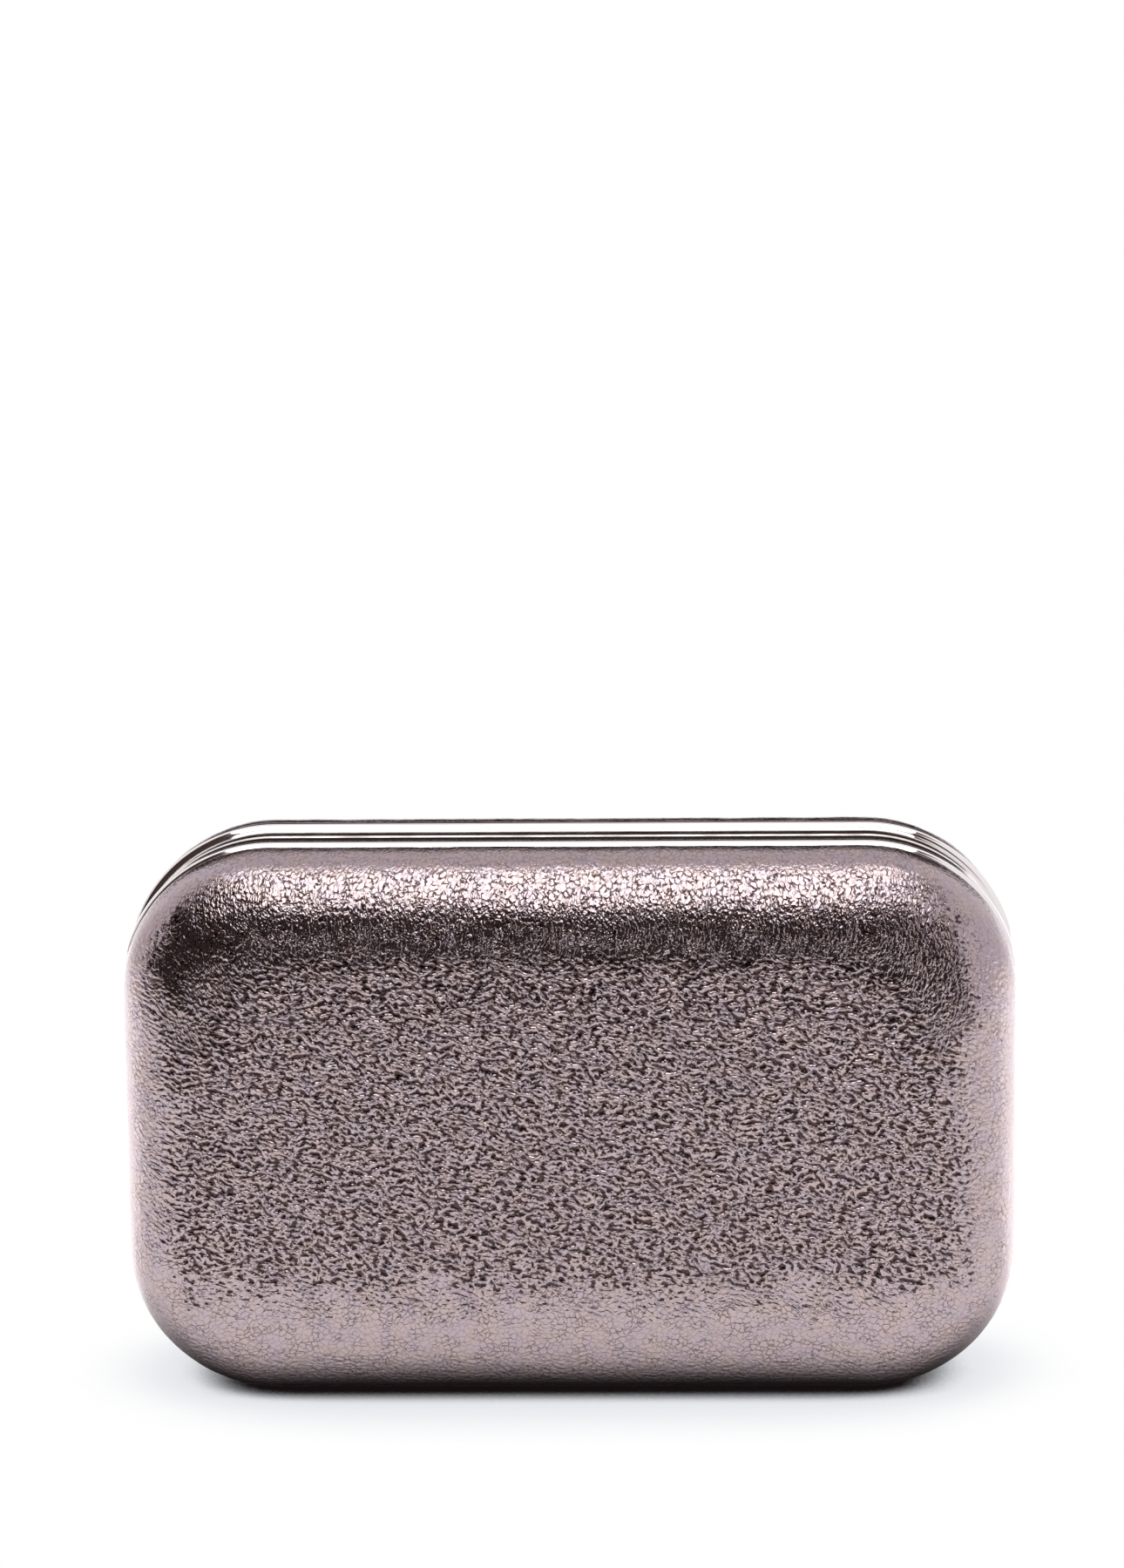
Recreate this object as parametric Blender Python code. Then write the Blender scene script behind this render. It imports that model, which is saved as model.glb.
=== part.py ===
# Hard-shell box clutch: two padded, leather-covered half shells in polished frame rails,
# hinged along the bottom and held shut by a magnet inside the top edge.
# Metres, +Z up. X is the width, the front half lies at -Y, the floor is z = 0.
import math

import bmesh
import bpy

# Frame, measured over the crowns of its beads
frame_width = 0.191
frame_height = 0.120
frame_corner_radius = 0.0325
rail_width = 0.0095
rail_wall = 0.0010
seam_gap = 0.0003
bead_width = 0.0034
bead_height = 0.0010
bead_crest_flat = 0.0006
flange_depth = 0.0065
flange_thickness = 0.0010

# Padded leather, moulded shell and lining, from the outside in
leather_reveal = 0.0005
leather_thickness = 0.0015
shell_thickness = 0.0018
lining_thickness = 0.0008
half_depth = 0.0192
face_dome = 0.0010
edge_roll = 0.0240
edge_roll_power = 2.4
corner_tightening_share = 0.6
plateau_ring_share = 0.55

# Running gap between pieces that seat on each other
seat_gap = 0.0003
cut_overrun = 0.0010

# Hinges under the bottom seam
hinge_spacing = 0.090
hinge_length = 0.024
hinge_axis_height = 0.0014
barrel_radius = 0.00125
bore_radius = 0.00075
pin_radius = 0.00045
outer_knuckle_length = 0.0060
leaf_thickness = 0.0007
leaf_top = 0.0085
opening_angle = math.radians(100)

# Rivets that hold the hinge leaves to the frame flanges
rivet_spacing = 0.016
rivet_shank_radius = 0.0005
rivet_hole_radius = 0.0008
rivet_head_radius = 0.0010
rivet_head_height = 0.0006

# Magnetic catch behind the top flange
catch_length = 0.026
catch_height = 0.0060
cup_depth = 0.0045
cup_wall = 0.0010
strike_thickness = 0.0015

# Slip pocket on the rear lining
pocket_width = 0.118
pocket_height = 0.058
pocket_corner_radius = 0.008
pocket_thickness = 0.0008

# Facets
corner_segments = 8
rail_corner_segments = 10
roll_segments = 7
bead_flank_segments = 4
pocket_corner_segments = 4
barrel_segments = 14
bore_segments = 12
rivet_segments = 10

# Places that follow from the sizes above
half_width = frame_width / 2
half_height = frame_height / 2
leather_start = rail_width + seat_gap
shell_offset = leather_thickness + seat_gap
lining_offset = shell_offset + shell_thickness + seat_gap
rim_start = seam_gap / 2 + flange_thickness + seat_gap
# The seam edges are cut back up to the hinge axis, so that they clear each other when it is open
seam_edge_slope = math.tan((math.pi - opening_angle) / 2)
seam_edge_width = (hinge_axis_height - bead_height) / seam_edge_slope + seam_gap / 2
front_side = -1
rear_side = 1


def clear_scene():
    for item in list(bpy.data.objects):
        bpy.data.objects.remove(item, do_unlink=True)


def make_material(name, colour, roughness, metallic):
    material = bpy.data.materials.new(name)
    material.use_nodes = True
    shader = material.node_tree.nodes["Principled BSDF"]
    shader.inputs["Base Color"].default_value = (*colour, 1)
    shader.inputs["Roughness"].default_value = roughness
    shader.inputs["Metallic"].default_value = metallic
    return material


def add_object(name, bm, material, parent=None, location=(0, 0, 0), smooth_angle=math.radians(35)):
    bmesh.ops.recalc_face_normals(bm, faces=bm.faces)
    mesh = bpy.data.meshes.new(name)
    bm.to_mesh(mesh)
    bm.free()
    mesh.shade_smooth()
    mesh.set_sharp_from_angle(angle=smooth_angle)
    mesh.materials.append(material)
    item = bpy.data.objects.new(name, mesh)
    bpy.context.collection.objects.link(item)
    item.location = location
    item.parent = parent
    return item


def hide_as_cutter(item):
    item.hide_render = True
    item.display_type = "WIRE"
    return item


def add_boolean(item, other, operation):
    modifier = item.modifiers.new(other.name, "BOOLEAN")
    modifier.operation = operation
    modifier.solver = "EXACT"
    modifier.object = other


# A ring of vertices round a rounded rectangle in the XZ plane, at one depth along Y
def rounded_ring(bm, half_x, half_z, radius, depth, segments):
    corners = (
        (half_x - radius, half_z - radius, 0),
        (radius - half_x, half_z - radius, 1),
        (radius - half_x, radius - half_z, 2),
        (half_x - radius, radius - half_z, 3),
    )
    verts = []
    for centre_x, centre_z, quarter in corners:
        for step in range(segments + 1):
            angle = (quarter + step / segments) * math.pi / 2
            x = centre_x + radius * math.cos(angle)
            z = centre_z + radius * math.sin(angle)
            verts.append(bm.verts.new((x, depth, z)))
    return verts


# The same ring, given by how far it lies inside the crowns of the frame beads
def frame_ring(bm, side, distance, inset, radius, segments):
    return rounded_ring(bm, half_width - inset, half_height - inset, radius, side * distance, segments)


# Quads between rings that hold the same number of vertices
def loft(bm, rings, closed=False):
    pairs = list(zip(rings, rings[1:]))
    if closed:
        pairs.append((rings[-1], rings[0]))
    for first, second in pairs:
        for i in range(len(first)):
            bm.faces.new((first[i - 1], first[i], second[i], second[i - 1]))


# Section of a frame rail: mating face, chamfered seam edge, flat, rolled bead, wall and flange.
# Each flank of the bead is one arc that starts level at the crest.
def rail_section():
    flank_width = (bead_width - bead_crest_flat) / 2
    flank_radius = (flank_width ** 2 + bead_height ** 2) / (2 * bead_height)
    flank_sweep = 2 * math.atan2(bead_height, flank_width)
    flank = []
    for step in range(bead_flank_segments + 1):
        angle = flank_sweep * step / bead_flank_segments
        flank.append((flank_radius * math.sin(angle), flank_radius * (1 - math.cos(angle))))
    crest_start = rail_width - bead_width + flank_width
    crest_end = rail_width - flank_width
    section = [
        (seam_gap / 2, flange_depth),
        (seam_gap / 2, hinge_axis_height),
        (seam_gap / 2 + seam_edge_width, bead_height),
    ]
    section += [(crest_start - reach, drop) for reach, drop in reversed(flank)]
    section += [(crest_end + reach, drop) for reach, drop in flank]
    section.append((rail_width, bead_height + rail_wall))
    section.append((seam_gap / 2 + flange_thickness, bead_height + rail_wall))
    section.append((seam_gap / 2 + flange_thickness, flange_depth))
    return section


def make_rail(name, side, material, parent, location):
    bm = bmesh.new()
    rings = []
    for distance, inset in rail_section():
        radius = frame_corner_radius - inset
        rings.append(frame_ring(bm, side, distance, inset, radius, rail_corner_segments))
    loft(bm, rings, closed=True)
    return add_object(name, bm, material, parent, location)


# Stations from the frame to the face of a half: distance from the seam, inset and corner radius.
# The roll is a superellipse; offset moves each station inwards along its normal.
def roll_stations(offset):
    power_share = 2 / edge_roll_power
    stations = []
    for step in range(roll_segments + 1):
        angle = math.pi / 2 * step / roll_segments
        across = math.sin(angle) ** power_share
        along = max(math.cos(angle), 0) ** power_share
        roll_inset = edge_roll * (1 - along)
        slope_out = across ** (edge_roll_power - 1) / half_depth
        slope_in = along ** (edge_roll_power - 1) / edge_roll
        length = math.hypot(slope_out, slope_in)
        distance = leather_start + half_depth * across - offset * slope_out / length
        inset = leather_reveal + roll_inset + offset * slope_in / length
        radius = frame_corner_radius - leather_reveal - corner_tightening_share * roll_inset
        radius -= offset * slope_in / length
        stations.append((distance, inset, radius))
    return stations


# One skin of a half: its roll, then its slightly domed face, closed to a point
def skin_rings(bm, side, offset, rim_distance):
    stations = roll_stations(offset)
    if rim_distance < leather_start:
        stations.insert(0, (rim_distance, stations[0][1], stations[0][2]))
    rings = []
    for distance, inset, radius in stations:
        rings.append(frame_ring(bm, side, distance, inset, radius, corner_segments))
    face_distance, face_inset, face_radius = stations[-1]
    half_x = (half_width - face_inset) * plateau_ring_share
    half_z = (half_height - face_inset) * plateau_ring_share
    radius = face_radius * plateau_ring_share
    rise = face_dome * (1 - plateau_ring_share ** 2)
    depth = side * (face_distance + rise)
    rings.append(rounded_ring(bm, half_x, half_z, radius, depth, corner_segments))
    loft(bm, rings)
    cap = bm.faces.new(rings[-1])
    centre = bmesh.ops.poke(bm, faces=[cap])["verts"][0]
    centre.co.y = side * (face_distance + face_dome)
    return rings


# A dish with a true thickness: an outer and an inner skin joined round the rim
def make_dish(name, side, offset, thickness, rim_distance, material, parent, location):
    bm = bmesh.new()
    outer = skin_rings(bm, side, offset, rim_distance)
    inner = skin_rings(bm, side, offset + thickness, rim_distance)
    loft(bm, [outer[0], inner[0]])
    return add_object(name, bm, material, parent, location)


def make_box(name, low, high, material, parent=None, location=(0, 0, 0)):
    bm = bmesh.new()
    bmesh.ops.create_cube(bm, size=1)
    for vert in bm.verts:
        for axis in range(3):
            vert.co[axis] = high[axis] if vert.co[axis] > 0 else low[axis]
    return add_object(name, bm, material, parent, location)


# A turned piece along X or Y from a list of (position along the axis, radius)
def make_turned(name, axis, centre, profile, segments, material, parent=None, location=(0, 0, 0)):
    bm = bmesh.new()
    rings = []
    for position, radius in profile:
        verts = []
        for step in range(segments):
            angle = 2 * math.pi * step / segments
            first = radius * math.cos(angle)
            second = radius * math.sin(angle)
            if axis == "X":
                place = (centre[0] + position, centre[1] + first, centre[2] + second)
            else:
                place = (centre[0] + first, centre[1] + position, centre[2] + second)
            verts.append(bm.verts.new(place))
        rings.append(verts)
    loft(bm, rings)
    bm.faces.new(rings[0])
    bm.faces.new(rings[-1])
    return add_object(name, bm, material, parent, location)


# A rolled knuckle: the barrel with the strip that runs from its top to the leaf
def make_knuckle(name, side, start_x, end_x, material, parent, location):
    reach = rim_start + leaf_thickness / 2
    closing_angle = math.asin((barrel_radius - leaf_thickness) / barrel_radius)
    sweep = 3 * math.pi / 2 + closing_angle
    outline = []
    for step in range(barrel_segments + 1):
        angle = math.pi / 2 - sweep * step / barrel_segments
        outline.append((-side * barrel_radius * math.cos(angle), barrel_radius * math.sin(angle)))
    outline.append((side * reach, barrel_radius - leaf_thickness))
    outline.append((side * reach, barrel_radius))
    bm = bmesh.new()
    verts = [bm.verts.new((start_x, y, z)) for y, z in outline]
    face = bm.faces.new(verts)
    grown = bmesh.ops.extrude_face_region(bm, geom=[face])["geom"]
    moved = [item for item in grown if isinstance(item, bmesh.types.BMVert)]
    bmesh.ops.translate(bm, verts=moved, vec=(end_x - start_x, 0, 0))
    return hide_as_cutter(add_object(name, bm, material, parent, location))


# One leaf of a hinge: a plate behind the flange with its knuckles rolled round the bore
def make_leaf(name, side, centre_x, knuckles, cutters, material, parent, location):
    low_y, high_y = sorted((side * rim_start, side * (rim_start + leaf_thickness)))
    plate_bottom = barrel_radius - leaf_thickness
    plate_top = leaf_top - hinge_axis_height
    low = (centre_x - hinge_length / 2, low_y, plate_bottom)
    high = (centre_x + hinge_length / 2, high_y, plate_top)
    leaf = make_box(name, low, high, material, parent, location)
    for number, (start_x, end_x) in enumerate(knuckles):
        knuckle = make_knuckle(f"{name}_knuckle_{number}", side, start_x, end_x, material, parent, location)
        add_boolean(leaf, knuckle, "UNION")
    for cutter in cutters:
        add_boolean(leaf, cutter, "DIFFERENCE")
    return leaf


# A hinge with its pin and rivets, and the cuts that it needs in the rails, shells and linings
def make_hinge(label, centre_x, materials, halves):
    steel = materials["steel"]
    axis_place = (0, 0, hinge_axis_height)
    half_length = hinge_length / 2
    inner_end = half_length - outer_knuckle_length
    front_knuckles = [
        (centre_x - half_length, centre_x - inner_end),
        (centre_x + inner_end, centre_x + half_length),
    ]
    rear_knuckles = [(centre_x - inner_end + seat_gap, centre_x + inner_end - seat_gap)]
    bore_profile = [(-half_length - cut_overrun, bore_radius), (half_length + cut_overrun, bore_radius)]
    bore = hide_as_cutter(make_turned(
        f"{label}_hinge_bore", "X", (centre_x, 0, 0), bore_profile, bore_segments, steel, None, axis_place))
    pin_profile = [(-half_length, pin_radius), (half_length, pin_radius)]
    make_turned(
        f"{label}_hinge_pin", "X", (centre_x, 0, 0), pin_profile, bore_segments, steel, None, axis_place)

    notch_reach = rim_start + leaf_thickness + seat_gap
    notch_top = hinge_axis_height + barrel_radius + seat_gap
    notch = hide_as_cutter(make_box(
        f"{label}_rail_notch",
        (centre_x - half_length - seat_gap, -notch_reach, -cut_overrun),
        (centre_x + half_length + seat_gap, notch_reach, notch_top), steel))
    rim_reach = notch_reach + rivet_head_height + seat_gap
    rim_top = leather_reveal + lining_offset + lining_thickness + cut_overrun
    rim_notch = hide_as_cutter(make_box(
        f"{label}_rim_notch",
        (centre_x - half_length - seat_gap, -rim_reach, -cut_overrun),
        (centre_x + half_length + seat_gap, rim_reach, rim_top), steel))
    rivet_height = (notch_top + flange_depth) / 2

    for side, half in halves.items():
        parent = half["parent"]
        drop = hinge_axis_height if parent else 0
        cutters = [bore]
        add_boolean(half["rail"], notch, "DIFFERENCE")
        add_boolean(half["shell"], rim_notch, "DIFFERENCE")
        add_boolean(half["lining"], rim_notch, "DIFFERENCE")
        for number, sign in enumerate((-1, 1), 1):
            centre = (centre_x + sign * rivet_spacing / 2, 0, rivet_height - drop)
            hole_end = side * (notch_reach + cut_overrun)
            hole = hide_as_cutter(make_turned(
                f"{label}_{half['name']}_rivet_hole_{number}", "Y", centre,
                [(-side * cut_overrun, rivet_hole_radius), (hole_end, rivet_hole_radius)],
                rivet_segments, steel, parent))
            cutters.append(hole)
            add_boolean(half["rail"], hole, "DIFFERENCE")
            shank_start = side * seam_gap
            head_start = side * notch_reach
            head_end = side * (notch_reach + rivet_head_height)
            make_turned(
                f"{label}_hinge_{half['name']}_rivet_{number}", "Y", centre,
                [(shank_start, rivet_shank_radius), (head_start, rivet_shank_radius),
                 (head_start, rivet_head_radius), (head_end, rivet_head_radius)],
                rivet_segments, steel, parent)
        knuckles = front_knuckles if side == front_side else rear_knuckles
        leaf_place = (0, 0, hinge_axis_height - drop)
        leaf_name = f"{label}_hinge_{half['name']}_leaf"
        make_leaf(leaf_name, side, centre_x, knuckles, cutters, steel, parent, leaf_place)


# The layers and the rail of one half
def make_half(name, side, materials, parent):
    drop = hinge_axis_height if parent else 0
    centre = (0, 0, half_height - drop)
    rail = make_rail(f"{name}_frame_rail", side, materials["nickel"], parent, centre)
    make_dish(
        f"{name}_leather_cover", side, 0, leather_thickness, leather_start,
        materials["leather"], parent, centre)
    shell = make_dish(
        f"{name}_shell", side, shell_offset, shell_thickness, rim_start,
        materials["shell"], parent, centre)
    lining = make_dish(
        f"{name}_lining", side, lining_offset, lining_thickness, rim_start,
        materials["lining"], parent, centre)
    return {"name": name, "rail": rail, "shell": shell, "lining": lining, "parent": parent}


# Magnet in its cup on the rear flange, and the strike plate that meets it on the front flange
def make_catch(materials, pivot):
    top = frame_height - flange_depth - seat_gap
    bottom = top - catch_height
    half_length = catch_length / 2
    face = seam_gap / 2
    cup = make_box(
        "rear_magnet_cup", (-half_length, face, bottom), (half_length, face + cup_depth, top),
        materials["steel"])
    pocket_low = (cup_wall - half_length, -cut_overrun, bottom + cup_wall)
    pocket_high = (half_length - cup_wall, face + cup_depth - cup_wall, top - cup_wall)
    pocket = hide_as_cutter(make_box("magnet_cup_pocket", pocket_low, pocket_high, materials["steel"]))
    add_boolean(cup, pocket, "DIFFERENCE")
    magnet_low = (pocket_low[0] + seat_gap, face + seat_gap, pocket_low[2] + seat_gap)
    magnet_high = (pocket_high[0] - seat_gap, pocket_high[1] - seat_gap, pocket_high[2] - seat_gap)
    make_box("rear_magnet", magnet_low, magnet_high, materials["magnet"])
    make_box(
        "front_strike_plate", (-half_length, -face - strike_thickness, bottom - hinge_axis_height),
        (half_length, -face, top - hinge_axis_height), materials["steel"], pivot)


# Flat pocket panel sewn to the rear lining along its sides and foot
def make_pocket(materials):
    lining_face = leather_start + half_depth - lining_offset - lining_thickness
    back = lining_face - seat_gap
    bm = bmesh.new()
    rings = []
    for depth in (back - pocket_thickness, back):
        rings.append(rounded_ring(
            bm, pocket_width / 2, pocket_height / 2, pocket_corner_radius, depth, pocket_corner_segments))
    loft(bm, rings)
    for ring in rings:
        bm.faces.new(ring)
    add_object("rear_slip_pocket", bm, materials["lining"], None, (0, 0, half_height))


def build():
    clear_scene()
    materials = {
        "leather": make_material("cracked_metallic_leather", (0.42, 0.36, 0.365), 0.32, 0.85),
        "nickel": make_material("polished_nickel", (0.80, 0.78, 0.76), 0.08, 1.0),
        "shell": make_material("moulded_shell_board", (0.10, 0.09, 0.09), 0.7, 0.0),
        "lining": make_material("satin_lining", (0.30, 0.26, 0.25), 0.55, 0.0),
        "steel": make_material("plated_steel", (0.62, 0.61, 0.60), 0.25, 1.0),
        "magnet": make_material("plated_magnet", (0.45, 0.45, 0.46), 0.3, 1.0),
    }
    pivot = bpy.data.objects.new("front_half_pivot", None)
    pivot.location = (0, 0, hinge_axis_height)
    bpy.context.collection.objects.link(pivot)
    halves = {
        front_side: make_half("front", front_side, materials, pivot),
        rear_side: make_half("rear", rear_side, materials, None),
    }
    make_hinge("left", -hinge_spacing / 2, materials, halves)
    make_hinge("right", hinge_spacing / 2, materials, halves)
    make_catch(materials, pivot)
    make_pocket(materials)


build()
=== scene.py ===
import math
from functools import partial

import bmesh
import bpy
import numpy as np
from mathutils import Matrix, Vector


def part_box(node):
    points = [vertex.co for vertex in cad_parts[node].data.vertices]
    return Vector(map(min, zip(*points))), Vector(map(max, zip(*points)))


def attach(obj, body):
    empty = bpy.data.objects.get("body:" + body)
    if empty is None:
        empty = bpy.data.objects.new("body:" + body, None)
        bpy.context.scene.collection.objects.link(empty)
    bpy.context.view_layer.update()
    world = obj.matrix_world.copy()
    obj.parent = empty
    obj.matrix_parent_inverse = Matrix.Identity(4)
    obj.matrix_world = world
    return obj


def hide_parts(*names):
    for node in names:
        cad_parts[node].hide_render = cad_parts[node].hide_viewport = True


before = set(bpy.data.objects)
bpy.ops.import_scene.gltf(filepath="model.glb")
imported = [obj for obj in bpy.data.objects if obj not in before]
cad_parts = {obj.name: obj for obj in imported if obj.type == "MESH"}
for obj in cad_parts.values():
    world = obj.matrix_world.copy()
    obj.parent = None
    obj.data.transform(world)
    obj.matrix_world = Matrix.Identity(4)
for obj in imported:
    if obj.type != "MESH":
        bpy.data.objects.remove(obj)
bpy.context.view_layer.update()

scene = bpy.context.scene
scene.view_settings.view_transform = "Standard"
mm = 0.001
white = (1, 1, 1, 1)
smoothly = {"interpolation_type": "SMOOTHSTEP"}

# The clutch, read from the frame: crowns of the beads, depth of a half and height of the middle
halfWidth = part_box("front_frame_rail")[1].x
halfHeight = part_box("front_frame_rail")[1].z / 2
railWidth = -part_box("front_frame_rail")[0].y
seamHalf = -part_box("front_frame_rail")[1].y
leatherStart = -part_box("front_leather_cover")[1].y
coverDepth = -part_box("front_leather_cover")[0].y - leatherStart
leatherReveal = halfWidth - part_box("front_leather_cover")[1].x
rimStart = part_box("rear_lining")[0].y
hingeHeight = sum(corner.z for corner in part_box("left_hinge_pin")) / 2
middle = Vector((0, 0, halfHeight))
halves = {"front": -1, "rear": 1}
bodies = {"front": "front_half", "rear": "rear_half"}

# How both halves are formed: a rounded rectangle whose edge rolls over to a slightly domed face
form = {
    "cornerRadius": 32.5 * mm,
    "rollWidth": 24 * mm,
    "rollPower": 2.4,
    "cornerTightening": 0.6,
    "faceDome": 1.0 * mm,
    "domePower": 1.5,
}


def toLinear(hexColour):
    values = [int(hexColour[i:i + 2], 16) / 255 for i in (1, 3, 5)]
    return [v / 12.92 if v <= 0.04045 else ((v + 0.055) / 1.055) ** 2.4 for v in values] + [1.0]


# A node given as an input stands for its first output in use
def setInputs(node, inputs):
    for socket, value in inputs.items():
        if isinstance(value, bpy.types.Node):
            value = next(output for output in value.outputs if output.enabled)
        if isinstance(value, bpy.types.NodeSocket):
            node.id_data.links.new(value, node.inputs[socket])
        else:
            node.inputs[socket].default_value = value


# The one way in which a node is made: its settings, and its inputs as values or links
def addNode(tree, kind, inputs=None, **settings):
    node = tree.nodes.new(kind if "Node" in kind else "ShaderNode" + kind)
    for name, value in settings.items():
        setattr(node, name, value)
    setInputs(node, inputs or {})
    return node


# The four ends that a Map Range node asks for
def ends(low, high, toLow=0.0, toHigh=1.0):
    return {"From Min": low, "From Max": high, "To Min": toLow, "To Max": toHigh}


def startMaterial(name, inputs):
    material = bpy.data.materials.new(name)
    material.use_nodes = True
    shader = material.node_tree.nodes["Principled BSDF"]
    setInputs(shader, inputs)
    add = partial(addNode, material.node_tree)
    return material, shader, add, add("TexCoord").outputs


def addObject(name, data):
    item = bpy.data.objects.new(name, data)
    scene.collection.objects.link(item)
    return item


def addPiece(name, mesh, material, body, nodes=(), smoothAngle=40):
    mesh.name = name
    piece = addObject(name, mesh)
    mesh.materials.clear()
    mesh.materials.append(material)
    mesh.shade_smooth()
    mesh.set_sharp_from_angle(angle=math.radians(smoothAngle))
    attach(piece, body)
    if nodes:
        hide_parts(*nodes)
    return piece


def bakedMesh(item):
    bpy.context.view_layer.update()
    graph = bpy.context.evaluated_depsgraph_get()
    mesh = bpy.data.meshes.new_from_object(item.evaluated_get(graph), depsgraph=graph)
    bpy.data.objects.remove(item, do_unlink=True)
    return mesh


# A Geometry Nodes tree with a shape and a material as inputs, besides the sizes that it names
def startTree(name, **sizes):
    tree = bpy.data.node_groups.new(name, "GeometryNodeTree")
    tree.interface.new_socket("Geometry", in_out="OUTPUT", socket_type="NodeSocketGeometry")
    for kind, sockets in {"Geometry": ["Geometry"], **sizes, "Material": ["Material"]}.items():
        for socket in sockets:
            tree.interface.new_socket(socket, in_out="INPUT", socket_type="NodeSocket" + kind)
    add = partial(addNode, tree)
    return add, add("NodeGroupInput").outputs


def endTree(geometry, material):
    add = partial(addNode, geometry.id_data)
    whole = add("GeometryNodeRealizeInstances", {"Geometry": geometry})
    dressed = add("GeometryNodeSetMaterial", {"Geometry": whole, "Material": material})
    add("NodeGroupOutput", {0: dressed})
    return geometry.id_data


def runTree(mesh, tree, settings):
    item = addObject(tree.name, mesh)
    modifier = item.modifiers.new(tree.name, "NODES")
    modifier.node_group = tree
    for socket in tree.interface.items_tree:
        if socket.in_out == "INPUT" and socket.name in settings:
            modifier[socket.identifier] = settings[socket.name]
    return bakedMesh(item)


# Materials

leather = {
    # The foil's plates from cool to warm, and the hide's dye, also the colour of the painted fold shade
    "plates": ("#ab9ea4", "#ae9fa2", "#b0a09f"),
    "plateStops": (0.36, 0.5, 0.64),
    "dyeAndShade": "#2d1712",
    "roughness": (0.15, 0.25),
    "foldMm": (1.35, 0.88),
    "foldTurn": math.radians(17),
    "foldDetail": 0.6,
    "foldHeight": 0.66,
    "rollFoldMm": (0.6, 1.15),
    "rollFoldDetail": 1.0,
    # Painted shade in the valleys between the folds, for the dark room that their sides mirror
    "paintedFoldShade": (0.46, 0.40),
    "paintedFoldShadeStrength": 0.88,
    "paintedFoldShadeLift": 0.34,
    "paintedFoldShadeEnds": (0.4, 1.0),
    # Sideways sway in mm, and over how many mm it comes and goes
    "borderSway": (3.5, 11),
    "foldSway": (0.5, 7),
    "cellSway": (0.28, 0.8),
    # Millimetres and detail of the grains
    "grains": {"open": (4, 2.0), "rollOpen": (1.6, 1.0), "pit": (0.35, 1.0), "tint": (5, 3.0)},
    # On the face, and on the roll along the top
    "cellMm": ((1.3, 1.15), (1.05, 1.65)),
    "crackWidth": (0.13, 0.25),
    "crackDepth": (0.045, 0.045),
    # Cracks hold dye, and on the top roll they are darker still: painted shade for the dark they mirror
    "crackShade": (0.6, 1.0),
    "openLevels": ((0.38, 0.62, 0.45, 1.0), (0.35, 0.55, 0.3, 1.0)),
    "pitDepth": (0.035, 0.012),
    # What each zone follows, where it starts and ends in mm, and its values there
    "zones": {
        "rolled": ("travel", -1, 9, 0.0, 1.0),
        "calm": ("travel", 22, 27, 1.0, 0.35),
        "side": ("sideways", 78, 92, 1.0, 0.35),
        "foot": ("upwards", -25, -42, 1.0, 0.3),
        "upper": ("upwards", 5, 30, 0.0, 1.0),
        "inner": ("sideways", 77, 88, 1.0, 0.0),
        "rollFolds": ("travel", 9, 15, 0.36, 0.18),
        # More painted fold shade, crowded under the top roll
        "crowd": ("travel", -18, -1, 0.0, 0.04),
    },
}
noiseMiddle = 0.5
noiseSwing = 0.25  # how far a noise mostly strays from its middle


# How far a point lies outside a rectangle about the middle, with a share of the sideways part
def outsideRectangle(add, place, corner, sideShare=1.0):
    away = place
    for operation, value in (("ABSOLUTE", (0, 0, 0)), ("SUBTRACT", corner), ("MAXIMUM", (0, 0, 0)),
                             ("MULTIPLY", (sideShare, 1, 1)), ("LENGTH", (0, 0, 0))):
        away = add("VectorMath", {0: away, 1: value}, operation=operation)
    return away
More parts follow.
